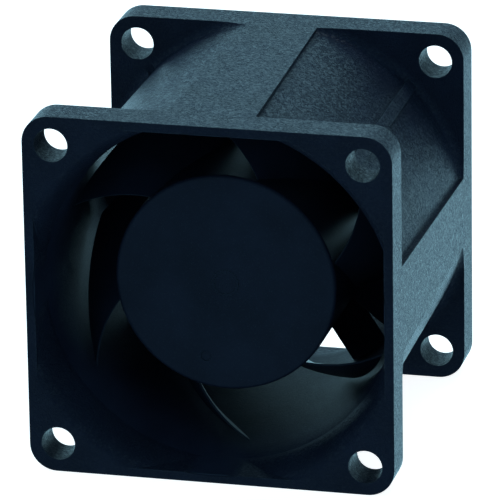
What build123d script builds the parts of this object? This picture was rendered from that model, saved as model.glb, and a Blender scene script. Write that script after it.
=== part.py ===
from build123d import *
import math
import os

os.makedirs("parts", exist_ok=True)

# Square housing. Depths are counted from the front face, the fan axis is Y and up is Z.
SIDE = 38.0
DEPTH = 38.0
FLANGE_T = 4.0
CORNER_R = 2.8
HOLE_EDGE = 3.0
HOLE_R = 1.75
DUCT_EDGE = 1.0
SHELL_T = 0.9
HIGH_FRONT_T = 1.65
HIGH_REAR_T = 1.4
ROOT_R = 1.0
STEP_X = 3.8
STEP_DRAFT = 1.4
GROOVE_W = 1.0
GROOVE_ANGLE = 137.5
CREST_W = 1.3
CREST_H = 0.35
EDGE_WALL = 0.95
FLARE = 2.2
BELL_FRONT = 7.8
BELL_REAR = FLANGE_T

# Impeller.
HUB_R = 11.5
HUB_WALL = 0.8
HUB_FRONT = 7.0
HUB_DEPTH = 17.0
HUB_CAP_T = 1.2
HUB_ROUND = 0.4
GATE_R = 1.4
GATE_W = 0.25
GATE_H = 0.08
DIMPLE_R = 0.55
DIMPLE_D = 0.15
DIMPLE_REACH = 8.3
DIMPLE_ANGLE = 255.0
BLADES = 6
BLADE_PHASE = 136.0
TIP_GAP = 0.6
BLADE_INSET = 1.0
BLADE_CHORD = 15.5
BLADE_SWEEP = 25.0
BLADE_WRAP_HUB = 40.0
BLADE_WRAP_TIP = 38.0
BLADE_T = 1.0
BLADE_ROOT = 1.6
BLADE_SPARE = 1.0
BEND_ALONG = 0.62
BEND_DEEP = 0.38
EDGE_SHARE = 0.16
BODY_SHARE = 1.36

# Guide vanes and motor base at the rear of the housing.
BASE_GAP = 0.6
BASE_WALL = 0.8
BASE_FLOOR = 1.8
BOSS_WALL = 1.3
BOSS_H = 5.0
VANES = 7
VANE_PHASE = 303.0
VANE_INSET = 0.6
VANE_END = 2.0
VANE_WRAP = 34.0
VANE_T = 0.9
STRUT_W = 4.4
STRUT_L = 8.0
CHANNEL_W = 2.6
CHANNEL_D = 1.6
LABEL_T = 0.2
LABEL_SINK = 0.3
LABEL_MARGIN = 1.2
LABEL_FIT = 0.1

# Magnetic circuit.
YOKE_T = 0.6
YOKE_INSET = 0.3
MAGNET_T = 1.1
MAGNET_INSET = 0.2
MAGNET_LEN = 10.8
AIR_GAP = 0.3
POLES = 4
POLE_W = 2.2
POLE_TIP_T = 0.9
POLE_GAP_DEG = 16.0
CORE_WALL = 0.8
STACK_LEN = 8.0
STACK_STEP = 5.2
INSULATOR_T = 0.5
INSULATOR_LIP = 1.3
LIP_W = 0.5
POST_W = 1.4
POST_T = 0.9
POST_END = 0.35
POST_CLEAR = 0.35
COIL_T = 1.1
COIL_ROUND = 0.88
COIL_GAP = 0.05
COIL_TIP_GAP = 0.1

# Shaft and bearings.
SHAFT_R = 1.5
BEARING_R = 3.0
BEARING_W = 2.5
BALL_R = 0.5
BALLS = 7
RACE_CLEAR = 0.02
POCKET_CLEAR = 0.03
CAGE_WEB = 0.25
CAGE_GAP = 0.1
RACE_SHARE = 0.6
SHIELD_SEAT = 0.14
SHIELD_SINK = 0.1
SHIELD_GAP = 0.06
SHIELD_T = 0.12
TUBE_WALL = 0.8
INSERT_STEP = 2.0
REAR_BEARING_LEAD = 6.7
BOSS_INSERT_R = 2.9
BOSS_INSERT_L = 3.2
SPRING_WIRE = 0.25
SPRING_CLEAR = 0.08
SPRING_TURNS = 4
CLIP_T = 0.4
CLIP_W = 0.9
CLIP_SINK = 0.25
WASHER_T = 0.3
SHAFT_TAIL = 1.2
SHAFT_BREAK = 0.2
TUBE_LIP = 0.4
TUBE_STEP = 0.5
WASHER_W = 0.55

# Circuit board and its parts.
BOARD_T = 0.8
BOARD_CLEAR = 0.25
BOARD_STEP = 0.6
PIN_R = 0.25
PIN_OUT = 0.5
CHIP_W = 3.9
CHIP_L = 4.9
CHIP_T = 1.5
CHIP_LIFT = 0.1
LEG_W = 0.4
LEG_L = 0.5
LEG_H = 0.5
LEG_ROOT = 0.02
LEG_PITCH = 1.27
HALL_W = 3.0
HALL_L = 1.6
HALL_T = 1.0
HALL_SHIFT = 0.2
HALL_ANGLE = 112.0
CAP_R = 1.5
CAP_H = 4.0
CAP_ROUND = 0.3
CAP_ANGLE = 250.0
CAP_STEP = 40.0
SMALL_L = 1.6
SMALL_W = 0.8
SMALL_T = 0.5
SMALL_ANGLE = 160.0
SMALL_STEP = 20.0
BYPASS_ANGLE = 20.0

# How far a cutting shape runs past the material that it cuts.
OVERCUT = 1.0

# Values worked out from the ones above.
HALF = SIDE / 2
HOLE_PITCH = SIDE - 2 * HOLE_EDGE
DUCT_R = HALF - DUCT_EDGE
SHELL_R = DUCT_R + SHELL_T
TIP_R = DUCT_R - TIP_GAP
HUB_BACK = HUB_FRONT + HUB_DEPTH
BLADE_FRONT = HUB_FRONT + BLADE_INSET
BLADE_BACK = BLADE_FRONT + BLADE_CHORD
BASE_R = HUB_R
BASE_FRONT = HUB_BACK + BASE_GAP
FLOOR_FRONT = DEPTH - BASE_FLOOR
YOKE_R = HUB_R - HUB_WALL
MAGNET_R = YOKE_R - YOKE_T
BORE_R = MAGNET_R - MAGNET_T
STACK_R = BORE_R - AIR_GAP
PIN_REACH = BORE_R - POST_CLEAR - POST_END
TUBE_R = BEARING_R + TUBE_WALL
YOKE_FRONT = HUB_FRONT + HUB_CAP_T
STACK_FRONT = YOKE_FRONT + YOKE_T + STACK_STEP
STACK_BACK = STACK_FRONT + STACK_LEN
YOKE_BACK = HUB_BACK - YOKE_INSET
MAGNET_BACK = YOKE_BACK - MAGNET_INSET
RACE_R = (SHAFT_R + BEARING_R) / 2
INSERT_BACK = YOKE_FRONT + YOKE_T + BOSS_INSERT_L
FRONT_BEARING = INSERT_BACK + INSERT_STEP
REAR_BEARING = FLOOR_FRONT - REAR_BEARING_LEAD
BOARD_DEPTH = BASE_FRONT + BOARD_STEP
TUBE_FRONT = FRONT_BEARING - TUBE_LIP
TUBE_BACK = FLOOR_FRONT + BASE_FLOOR - LABEL_SINK
SHAFT_FRONT = YOKE_FRONT
CLIP_FRONT = REAR_BEARING + BEARING_W + WASHER_T
SHAFT_BACK = CLIP_FRONT + CLIP_T + SHAFT_TAIL


def rod(radius, front, back):
    """A round bar on the fan axis between two depths."""
    middle = (front + back) / 2 - DEPTH / 2
    return Pos(0, middle, 0) * Rot(90, 0, 0) * Cylinder(radius, back - front)


def ring(outer, inner, front, back):
    """A plain ring on the fan axis between two depths."""
    return rod(outer, front, back) - rod(inner, front - OVERCUT, back + OVERCUT)


def slab(sketch, front, back):
    """A flat outline, drawn in X and Z, given thickness between two depths."""
    plane = Plane(origin=(0, back - DEPTH / 2, 0), x_dir=(1, 0, 0), z_dir=(0, -1, 0))
    return extrude(plane * sketch, amount=back - front)


def block(x0, x1, front, back, z0, z1):
    """A box given by its limits."""
    middle = ((x0 + x1) / 2, (front + back) / 2 - DEPTH / 2, (z0 + z1) / 2)
    return Pos(*middle) * Box(x1 - x0, back - front, z1 - z0)


def around(part, angle):
    """Turn a part about the fan axis, counter-clockwise as seen from the front."""
    return Rot(0, -angle, 0) * part


def save(part, name):
    """Write one node."""
    export_step(part, "parts/" + name + ".step")


def trumpet(depth, flare):
    """A round mouth that narrows from the face to the duct, mouth at depth zero."""
    rim = DUCT_R + flare
    curve = EllipticalCenterArc((rim, depth), flare, depth, start_angle=180, arc_size=90)
    outline = [
        curve,
        Line((rim, 0), (rim, -OVERCUT)),
        Line((rim, -OVERCUT), (0, -OVERCUT)),
        Line((0, -OVERCUT), (0, depth)),
        Line((0, depth), (DUCT_R, depth)),
    ]
    face = make_face(Curve() + outline)
    return revolve(face, axis=Axis.Y, revolution_arc=360)


def shell_body(front_r, rear_r):
    """The shell as a solid of revolution that flares out into both flanges."""
    front = FLANGE_T - DEPTH / 2
    rear = DEPTH / 2 - FLANGE_T
    front_rim = front_r + ROOT_R
    rear_rim = rear_r + ROOT_R
    outline = [
        Line((0, front - FLANGE_T / 2), (front_rim, front - FLANGE_T / 2)),
        Line((front_rim, front - FLANGE_T / 2), (front_rim, front)),
        CenterArc((front_rim, front + ROOT_R), ROOT_R, 180, 90),
        Line((front_r, front + ROOT_R), (rear_r, rear - ROOT_R)),
        CenterArc((rear_rim, rear - ROOT_R), ROOT_R, 90, 90),
        Line((rear_rim, rear), (rear_rim, rear + FLANGE_T / 2)),
        Line((rear_rim, rear + FLANGE_T / 2), (0, rear + FLANGE_T / 2)),
        Line((0, rear + FLANGE_T / 2), (0, front - FLANGE_T / 2)),
    ]
    return revolve(make_face(Curve() + outline), axis=Axis.Y, revolution_arc=360)


def section(radius, lead, trail, front, back, thickness):
    """One cross-section of a curved blade, on the plane that faces out halfway along its chord."""
    half_wrap = math.radians(lead - trail) / 2
    lead_t = radius * math.tan(half_wrap)
    trail_t = -lead_t
    bend_t = lead_t + BEND_ALONG * (trail_t - lead_t)
    bend_y = front + BEND_DEEP * (back - front)
    sides = ([], [])
    for step in range(7):
        s = step / 6
        t = (1 - s) ** 2 * lead_t + 2 * s * (1 - s) * bend_t + s * s * trail_t
        y = (1 - s) ** 2 * front + 2 * s * (1 - s) * bend_y + s * s * back
        dt = 2 * (1 - s) * (bend_t - lead_t) + 2 * s * (trail_t - bend_t)
        dy = 2 * (1 - s) * (bend_y - front) + 2 * s * (back - bend_y)
        size = math.hypot(dt, dy)
        half = thickness * (EDGE_SHARE + BODY_SHARE * s * (1 - s))
        for side, sign in zip(sides, (1, -1)):
            side.append((radius, y - sign * half * dt / size - DEPTH / 2, t + sign * half * dy / size))
    over, under = sides
    edges = [
        Spline(*over),
        Line(over[-1], under[-1]),
        Spline(*reversed(under)),
        Line(under[0], over[0]),
    ]
    return around(Face(Wire(edges)), (lead + trail) / 2)


def curved_blade(inner, outer, lead_in, lead_out, wrap_in, wrap_out, front, back, thickness):
    """A swept and twisted blade that runs past both radii, to be trimmed later."""
    stations = (inner - BLADE_ROOT, (inner + outer) / 2, outer + BLADE_SPARE)
    faces = []
    for radius in stations:
        share = (radius - inner) / (outer - inner)
        lead = lead_in + share * (lead_out - lead_in)
        wrap = wrap_in + share * (wrap_out - wrap_in)
        faces.append(section(radius, lead, lead - wrap, front, back, thickness))
    return loft(faces)


# Housing: two flanges and the round shell, whose wall is thinner at two opposite corners.
outline = RectangleRounded(SIDE, SIDE, CORNER_R)
front_flange = slab(outline, 0, FLANGE_T)
rear_flange = slab(outline, DEPTH - FLANGE_T, DEPTH)
square = Box(SIDE, DEPTH, SIDE)
low_shell = shell_body(SHELL_R, SHELL_R) & square
high_shell = shell_body(DUCT_R + HIGH_FRONT_T, DUCT_R + HIGH_REAR_T) & square
beside = Rot(0, 0, STEP_DRAFT) * Pos(STEP_X + SIDE, 0, 0) * Box(2 * SIDE, 2 * DEPTH, 4 * SIDE)
above = mirror(beside, about=Plane(origin=(0, 0, 0), z_dir=(1, 0, -1)))
thin_corner = beside & above
groove = block(SHELL_R, SIDE, FLANGE_T, DEPTH - FLANGE_T, -GROOVE_W / 2, GROOVE_W / 2)
crest = block(DUCT_R, SHELL_R + CREST_H, FLANGE_T / 2, DEPTH - FLANGE_T / 2, -CREST_W / 2, CREST_W / 2)
for turn in (0, 180):
    high_shell -= around(thin_corner, turn)
    high_shell -= around(groove, GROOVE_ANGLE + turn)
    low_shell += around(crest, 45 + turn)
housing = front_flange + rear_flange + low_shell + high_shell

# Round duct with a flared mouth at each face, cut square where it meets the thin sides.
mouth_half = HALF - EDGE_WALL
mouth_box = Box(2 * mouth_half, 3 * DEPTH, 2 * mouth_half)
front_mouth = Pos(0, -DEPTH / 2, 0) * trumpet(BELL_FRONT, FLARE) & mouth_box
rear_mouth = Rot(0, 0, 180) * (Pos(0, -DEPTH / 2, 0) * trumpet(BELL_REAR, FLARE)) & mouth_box
housing -= rod(DUCT_R, BELL_FRONT - OVERCUT, DEPTH - BELL_REAR + OVERCUT)
housing -= front_mouth
housing -= rear_mouth
for x in (-1, 1):
    for z in (-1, 1):
        housing -= Pos(x * HOLE_PITCH / 2, 0, z * HOLE_PITCH / 2) * rod(HOLE_R, -OVERCUT, DEPTH + OVERCUT)

# Motor base: a shallow cup held by the guide vanes and one wide strut.
base = ring(BASE_R, BASE_R - BASE_WALL, BASE_FRONT, DEPTH)
base += rod(BASE_R - BASE_WALL / 2, FLOOR_FRONT, DEPTH)
base += rod(TUBE_R + BOSS_WALL, FLOOR_FRONT - BOSS_H, DEPTH - BASE_FLOOR / 2)
vane_front = BASE_FRONT + VANE_INSET
vane_back = DEPTH - VANE_END
vane = curved_blade(BASE_R, DUCT_R, 0, 0, -VANE_WRAP, -VANE_WRAP, vane_front, vane_back, VANE_T)
vane = vane & ring(DUCT_R + SHELL_T / 2, BASE_R - BASE_WALL / 2, vane_front - OVERCUT, DEPTH)
for count in range(1, VANES):
    base += around(vane, VANE_PHASE + count * 360 / VANES - VANE_WRAP)
strut_front = DEPTH - STRUT_L
strut_room = rod(DUCT_R + SHELL_T / 2, strut_front, DEPTH)
strut_room += rod(DUCT_R + FLARE, DEPTH - FLANGE_T, DEPTH)
strut_room -= rod(BASE_R - BASE_WALL / 2, strut_front - OVERCUT, DEPTH + OVERCUT)
strut = block(0, HALF * 2, strut_front, DEPTH, -STRUT_W / 2, STRUT_W / 2) & strut_room
base += around(strut, VANE_PHASE)
housing += base
channel = block(BASE_R - 2 * BASE_WALL, SIDE, DEPTH - CHANNEL_D, DEPTH * 2, -CHANNEL_W / 2, CHANNEL_W / 2)
housing -= around(channel, VANE_PHASE)
housing -= rod(TUBE_R, FLOOR_FRONT - BOSS_H - OVERCUT, DEPTH + OVERCUT)
housing -= rod(BASE_R - LABEL_MARGIN, DEPTH - LABEL_SINK, DEPTH + OVERCUT)
save(housing, "housing")

label = rod(BASE_R - LABEL_MARGIN - LABEL_FIT, DEPTH - LABEL_SINK, DEPTH - LABEL_SINK + LABEL_T)
save(label, "rear_label")

# Impeller: cup-shaped hub with swept blades.
hub = rod(HUB_R, HUB_FRONT, HUB_BACK)
hub = fillet(hub.edges().sort_by(Axis.Y)[0], HUB_ROUND)
hub -= rod(YOKE_R, YOKE_FRONT, HUB_BACK + OVERCUT)
blade = curved_blade(
    HUB_R,
    TIP_R,
    0,
    BLADE_SWEEP,
    BLADE_WRAP_HUB,
    BLADE_WRAP_TIP,
    BLADE_FRONT,
    BLADE_BACK,
    BLADE_T,
)
blade = blade & ring(TIP_R, HUB_R - HUB_WALL / 2, BLADE_FRONT - OVERCUT, BLADE_BACK + OVERCUT)
impeller = hub
for count in range(BLADES):
    impeller += around(blade, BLADE_PHASE + count * 360 / BLADES)
impeller += ring(GATE_R, GATE_R - GATE_W, HUB_FRONT - GATE_H, HUB_FRONT + HUB_CAP_T / 2)
dimple = Pos(DIMPLE_REACH, 0, 0) * rod(DIMPLE_R, HUB_FRONT - OVERCUT, HUB_FRONT + DIMPLE_D)
impeller -= around(dimple, DIMPLE_ANGLE)
save(impeller, "impeller")

# Rotor: steel cup, magnet, brass insert and shaft.
yoke = rod(YOKE_R, YOKE_FRONT, YOKE_BACK) - rod(MAGNET_R, YOKE_FRONT + YOKE_T, YOKE_BACK + OVERCUT)
yoke -= rod(BOSS_INSERT_R, YOKE_FRONT - OVERCUT, YOKE_BACK)
save(yoke, "rotor_yoke")
magnet = ring(MAGNET_R, BORE_R, MAGNET_BACK - MAGNET_LEN, MAGNET_BACK)
save(magnet, "magnet_ring")
insert = ring(BOSS_INSERT_R, SHAFT_R, YOKE_FRONT, INSERT_BACK)
save(insert, "shaft_insert")
shaft = rod(SHAFT_R, SHAFT_FRONT, SHAFT_BACK)
shaft -= ring(SHAFT_R + OVERCUT, SHAFT_R - CLIP_SINK, CLIP_FRONT, CLIP_FRONT + CLIP_T)
shaft = chamfer(shaft.edges().sort_by(Axis.Y)[-1], SHAFT_BREAK)
save(shaft, "shaft")
washer = ring(SHAFT_R + WASHER_W, SHAFT_R, REAR_BEARING + BEARING_W, CLIP_FRONT)
save(washer, "thrust_washer")
clip = ring(SHAFT_R + CLIP_W, SHAFT_R - CLIP_SINK, CLIP_FRONT, CLIP_FRONT + CLIP_T)
clip_back = CLIP_FRONT + CLIP_T
clip -= block(0, SIDE, CLIP_FRONT - OVERCUT, clip_back + OVERCUT, -SHAFT_R / 2, SHAFT_R / 2)
save(clip, "retaining_clip")

# Preload spring between the insert and the front bearing.
spring_r = SHAFT_R + SPRING_CLEAR + SPRING_WIRE / 2
spring_len = FRONT_BEARING - INSERT_BACK - SPRING_WIRE
path = Helix(pitch=spring_len / SPRING_TURNS, height=spring_len, radius=spring_r)
wire = sweep(Plane(origin=path @ 0, z_dir=path % 0) * Circle(SPRING_WIRE / 2), path=path)
spring = Pos(0, FRONT_BEARING - SPRING_WIRE / 2 - DEPTH / 2, 0) * (Rot(90, 0, 0) * wire)
save(spring, "preload_spring")


def bearing(front, name):
    """A small shielded ball bearing: rings, balls, cage and two shields."""
    middle = front + BEARING_W / 2
    track = Torus(RACE_R, BALL_R + RACE_CLEAR)
    track = Pos(0, middle - DEPTH / 2, 0) * Rot(90, 0, 0) * track
    gap = BALL_R * RACE_SHARE
    seat_r = RACE_R + gap + SHIELD_SEAT
    seat_d = SHIELD_T + SHIELD_SINK
    outer = ring(BEARING_R, RACE_R + gap, front, front + BEARING_W)
    outer -= rod(seat_r, front - OVERCUT, front + seat_d)
    outer -= rod(seat_r, front + BEARING_W - seat_d, front + BEARING_W + OVERCUT)
    outer -= track
    save(outer, name + "_outer_ring")
    inner = ring(RACE_R - gap, SHAFT_R, front, front + BEARING_W)
    inner -= track
    save(inner, name + "_inner_ring")
    ball = Pos(RACE_R, middle - DEPTH / 2, 0) * Sphere(BALL_R)
    balls = [around(ball, count * 360 / BALLS) for count in range(BALLS)]
    save(Compound(children=balls), name + "_balls")
    cage_front = middle - BALL_R - CAGE_WEB
    cage = ring(RACE_R + gap - CAGE_GAP, RACE_R - gap + CAGE_GAP, cage_front, middle + BALL_R / 4)
    pocket = Rot(0, 90, 0) * Cylinder(BALL_R + POCKET_CLEAR, 2 * BALL_R)
    pocket = Pos(RACE_R, middle - DEPTH / 2, 0) * pocket
    for count in range(BALLS):
        cage -= around(pocket, count * 360 / BALLS)
    save(cage, name + "_cage")
    for end, edge in (("front", front + SHIELD_SINK), ("rear", front + BEARING_W - seat_d)):
        shield = ring(seat_r, RACE_R - gap + SHIELD_GAP, edge, edge + SHIELD_T)
        save(shield, name + "_" + end + "_shield")


bearing(FRONT_BEARING, "front_bearing")
bearing(REAR_BEARING, "rear_bearing")

# Brass tube that seats both bearings.
tube = rod(TUBE_R, TUBE_FRONT, TUBE_BACK)
tube -= rod(BEARING_R - TUBE_STEP, TUBE_FRONT - OVERCUT, TUBE_BACK + OVERCUT)
tube -= rod(BEARING_R, TUBE_FRONT - OVERCUT, FRONT_BEARING + BEARING_W)
tube -= rod(BEARING_R, REAR_BEARING, TUBE_BACK + OVERCUT)
save(tube, "bearing_tube")

# Stator: laminated core, two moulded insulators and one coil on each pole.
core = Circle(TUBE_R + CORE_WALL)
tips = Circle(STACK_R) - Circle(STACK_R - POLE_TIP_T)
for count in range(POLES):
    angle = count * 360 / POLES
    arm = Pos(STACK_R / 2, 0) * Rectangle(STACK_R - POLE_TIP_T, POLE_W)
    core += Rot(0, 0, angle) * arm
    slot_w = 2 * STACK_R * math.sin(math.radians(POLE_GAP_DEG / 2))
    slot = Pos(STACK_R, 0) * Rectangle(2 * POLE_TIP_T + OVERCUT, slot_w)
    tips -= Rot(0, 0, angle + 180 / POLES) * slot
core += tips
core -= Circle(TUBE_R)
save(slab(core, STACK_FRONT, STACK_BACK), "stator_core")

plate = Circle(TUBE_R + CORE_WALL + INSULATOR_T)
for count in range(POLES):
    arm = Pos((STACK_R - POLE_TIP_T / 2) / 2, 0)
    arm = arm * Rectangle(STACK_R - POLE_TIP_T / 2, POLE_W + 2 * INSULATOR_T)
    plate += Rot(0, 0, count * 360 / POLES) * arm
plate -= Circle(TUBE_R)
collar = Circle(TUBE_R + CORE_WALL) - Circle(TUBE_R)
lips = Sketch()
for count in range(POLES):
    lip = Pos(STACK_R - POLE_TIP_T / 2 - LIP_W / 2, 0) * Rectangle(LIP_W, POLE_W + 2 * COIL_T)
    lips += Rot(0, 0, count * 360 / POLES) * lip
collar_front = INSULATOR_T + INSULATOR_LIP
insulator = slab(plate, STACK_FRONT - INSULATOR_T, STACK_FRONT)
insulator += slab(lips, STACK_FRONT - collar_front, STACK_FRONT)
save(insulator, "front_insulator")
insulator = slab(plate, STACK_BACK, STACK_BACK + INSULATOR_T)
insulator += slab(lips, STACK_BACK, STACK_BACK + collar_front)
insulator += slab(collar, STACK_BACK, BOARD_DEPTH)
post = block(0, PIN_REACH + POST_END, STACK_BACK, STACK_BACK + POST_T, -POST_W / 2, POST_W / 2)
post -= rod(TUBE_R, STACK_BACK - OVERCUT, STACK_BACK + POST_T + OVERCUT)
pin_hole = Pos(PIN_REACH, 0, 0) * rod(PIN_R, STACK_BACK - OVERCUT, BOARD_DEPTH + BOARD_T + OVERCUT)
for count in range(POLES):
    insulator += around(post - pin_hole, (count + 0.5) * 360 / POLES)
save(insulator, "rear_insulator")

coil_in = TUBE_R + CORE_WALL + INSULATOR_T + COIL_GAP
inner_w = POLE_W + 2 * INSULATOR_T + 2 * COIL_GAP
inner_front = STACK_FRONT - INSULATOR_T - COIL_GAP
inner_back = STACK_BACK + INSULATOR_T + COIL_GAP
half_w = inner_w / 2 + COIL_T
coil_out = math.sqrt((STACK_R - POLE_TIP_T - COIL_TIP_GAP) ** 2 - half_w**2)
coil = block(coil_in, coil_out, inner_front - COIL_T, inner_back + COIL_T, -half_w, half_w)
coil = fillet(coil.edges().filter_by(Axis.X), COIL_ROUND)
coil -= block(0, SIDE, inner_front, inner_back, -inner_w / 2, inner_w / 2)
for count in range(POLES):
    save(around(coil, count * 360 / POLES), "coil_" + str(count + 1))

# Circuit board with its small parts.
board_r = BASE_R - BASE_WALL - BOARD_CLEAR
board = ring(board_r, TUBE_R + BOARD_CLEAR, BOARD_DEPTH, BOARD_DEPTH + BOARD_T)
pin = Pos(PIN_REACH, 0, 0) * rod(PIN_R, STACK_BACK, BOARD_DEPTH + BOARD_T + PIN_OUT)
pins = []
for count in range(POLES):
    angle = (count + 0.5) * 360 / POLES
    board -= around(pin_hole, angle)
    pins.append(around(pin, angle))
save(board, "circuit_board")
save(Compound(children=pins), "terminal_pins")

board_back = BOARD_DEPTH + BOARD_T
part_r = (board_r + TUBE_R + BOARD_CLEAR) / 2
chip_in = part_r - CHIP_W / 2
chip_out = part_r + CHIP_W / 2
chip = block(chip_in, chip_out, board_back + CHIP_LIFT, board_back + CHIP_T, -CHIP_L / 2, CHIP_L / 2)
for count in range(4):
    z = (count - 1.5) * LEG_PITCH
    z0 = z - LEG_W / 2
    z1 = z + LEG_W / 2
    chip += block(chip_in - LEG_L, chip_in + LEG_ROOT, board_back, board_back + LEG_H, z0, z1)
    chip += block(chip_out - LEG_ROOT, chip_out + LEG_L, board_back, board_back + LEG_H, z0, z1)
save(around(chip, 90), "driver_chip")
hall_in = part_r - HALL_L / 2 + HALL_SHIFT
hall = block(hall_in, hall_in + HALL_L, BOARD_DEPTH - HALL_T, BOARD_DEPTH, -HALL_W / 2, HALL_W / 2)
save(around(hall, HALL_ANGLE), "hall_sensor")
can = Pos(part_r, 0, 0) * rod(CAP_R, board_back, board_back + CAP_H)
can = fillet(can.edges().sort_by(Axis.Y)[-1], CAP_ROUND)
save(around(can, CAP_ANGLE), "capacitor_1")
save(around(can, CAP_ANGLE + CAP_STEP), "capacitor_2")
small_in = part_r - SMALL_L / 2
small = block(small_in, small_in + SMALL_L, board_back, board_back + SMALL_T, -SMALL_W / 2, SMALL_W / 2)
save(around(small, BYPASS_ANGLE), "resistor_1")
for count in range(3):
    save(around(small, SMALL_ANGLE + count * SMALL_STEP), "resistor_" + str(count + 2))
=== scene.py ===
"""Deep square server fan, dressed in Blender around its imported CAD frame."""
import logging
import math
from dataclasses import dataclass
from enum import Enum
from typing import Callable, Dict, List, Optional, Sequence, Tuple

import bpy
import numpy as np
from mathutils import Matrix, Vector


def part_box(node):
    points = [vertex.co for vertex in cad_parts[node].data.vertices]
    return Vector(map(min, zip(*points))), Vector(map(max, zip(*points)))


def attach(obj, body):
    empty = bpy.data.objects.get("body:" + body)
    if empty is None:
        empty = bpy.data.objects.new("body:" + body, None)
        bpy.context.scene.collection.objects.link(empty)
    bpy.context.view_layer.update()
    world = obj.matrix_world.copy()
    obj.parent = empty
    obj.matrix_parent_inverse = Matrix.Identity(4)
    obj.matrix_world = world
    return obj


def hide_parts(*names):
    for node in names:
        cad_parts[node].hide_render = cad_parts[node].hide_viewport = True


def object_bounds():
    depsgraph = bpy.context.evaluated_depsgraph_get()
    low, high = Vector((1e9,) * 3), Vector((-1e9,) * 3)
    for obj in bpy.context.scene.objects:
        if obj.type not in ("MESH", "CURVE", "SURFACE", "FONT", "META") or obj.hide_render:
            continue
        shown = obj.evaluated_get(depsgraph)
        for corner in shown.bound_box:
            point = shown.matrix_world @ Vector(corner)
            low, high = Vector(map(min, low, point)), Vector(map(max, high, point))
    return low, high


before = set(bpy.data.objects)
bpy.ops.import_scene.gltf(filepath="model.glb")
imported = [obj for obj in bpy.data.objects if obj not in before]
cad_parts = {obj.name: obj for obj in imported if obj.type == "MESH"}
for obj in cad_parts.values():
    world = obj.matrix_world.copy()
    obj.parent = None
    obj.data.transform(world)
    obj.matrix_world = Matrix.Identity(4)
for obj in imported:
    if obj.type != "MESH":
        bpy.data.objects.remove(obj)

LOG = logging.getLogger("fan")
MM = 0.001
CAD_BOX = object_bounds()
Colour = Tuple[float, float, float]


class Body(Enum):
    """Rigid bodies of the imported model."""

    STATOR = "stator"
    ROTOR = "rotor"
    FRONT_CAGE = "front_cage"
    REAR_CAGE = "rear_cage"


class Grain(Enum):
    """How coarse the skin of a moulded or metal piece is, as texture cells per metre."""

    SPARK_ERODED = 6400.0
    SATIN = 6500.0
    GROUND = 9000.0


@dataclass(frozen=True)
class GrainShape:
    """How the moulded grain is mixed.

    Attributes:
        coarse_share: cells of the coarse noise for one cell of the fine noise.
        pit_share: random cells for one cell of the fine noise.
        slow_cells: cells per metre of the slow mottle.
        fine_height: part of the fine noise in the height.
        coarse_height: part of the coarse noise in the height.
        own_height: part of each cell's own number in the height.
        fleck_radius: radius of a fleck, as a share of a cell.
        fleck_sharpness: how sharp a fleck's rim is.
        fleck_rarity: power on a cell's number that leaves few bright flecks.
    """

    coarse_share: float = 0.37
    pit_share: float = 0.8
    slow_cells: float = 190.0
    fine_height: float = 0.60
    coarse_height: float = 0.12
    own_height: float = 0.28
    fleck_radius: float = 0.45
    fleck_sharpness: float = 8.0
    fleck_rarity: float = 3.0


GRAIN_SHAPE = GrainShape()
# Edges painted light as a highlight and rubbed smoother: contrast, patches per metre, their gain, and how
# much smoother a rubbed edge is.
EDGE_CONTRAST = 5.0
HIGHLIGHT_AND_RUB_CELLS = 900.0
HIGHLIGHT_AND_RUB_GAIN = 1.6
RUB_SMOOTHING = 0.08
# The mould: how sharp the polished part's border is, and what polished and ground faces lose of the grain,
# painted glints of the flecks included.
POLISH_BORDER = 8000.0
POLISHED_RELIEF = 0.15
GROUND_FACE_SHARE = 0.8
# Stacked sheets: how many there are, and where and how sharply a seam darkens within one.
SHEETS_PER_METRE = 2000.0
SEAM_FROM = 0.40
SEAM_SHARPNESS = 12.0
# Turning marks, and the slow mottle's dark end and contrast.
MARKS_PER_METRE = 9000.0
MOTTLE_FROM = 0.35
MOTTLE_GAIN = 3.0


class Graph:
    """A thin wrapper that adds and links shader nodes in one tree."""

    def __init__(self, tree: bpy.types.NodeTree) -> None:
        """Keeps the tree.

        Args:
            tree: the node tree that gets the nodes.
        """
        self.tree = tree

    def add(self, kind: str, values: Optional[Dict[str, object]] = None,
            **settings: object) -> bpy.types.Node:
        """Adds a node, sets its properties and fills or links its inputs.

        Args:
            kind: the node's type name without the leading ShaderNode.
            values: input name or index to a plain value or to an output socket.
            **settings: properties of the node.

        Returns:
            The new node.
        """
        node = self.tree.nodes.new("ShaderNode" + kind)
        for name, value in settings.items():
            setattr(node, name, value)
        for name, value in (values or {}).items():
            socket = node.inputs[name]
            if isinstance(value, bpy.types.NodeSocket):
                self.tree.links.new(value, socket)
            else:
                socket.default_value = value
        return node

    def math(self, operation: str, first: object, second: object = 0.0,
             clamp: bool = False) -> bpy.types.NodeSocket:
        """A Math node's output.

        Args:
            operation: the Math node's operation.
            first: a socket or number.
            second: a socket or number.
            clamp: whether the result is kept between 0 and 1.

        Returns:
            The value socket.
        """
        node = self.add("Math", {0: first, 1: second}, operation=operation, use_clamp=clamp)
        return node.outputs[0]

    def blend(self, share: object, low: object, high: object) -> bpy.types.NodeSocket:
        """A colour that goes from low to high with share.

        Args:
            share: a socket or number from 0 to 1.
            low: colour at 0, as four numbers or a socket.
            high: colour at 1, as four numbers or a socket.

        Returns:
            The colour socket.
        """
        node = self.add("Mix", data_type="RGBA")
        for index, value in ((0, share), (6, low), (7, high)):
            if isinstance(value, bpy.types.NodeSocket):
                self.tree.links.new(value, node.inputs[index])
            else:
                node.inputs[index].default_value = value
        return node.outputs[2]


GroupParts = Tuple[bpy.types.NodeTree, Graph, bpy.types.Node, bpy.types.Node]


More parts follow.
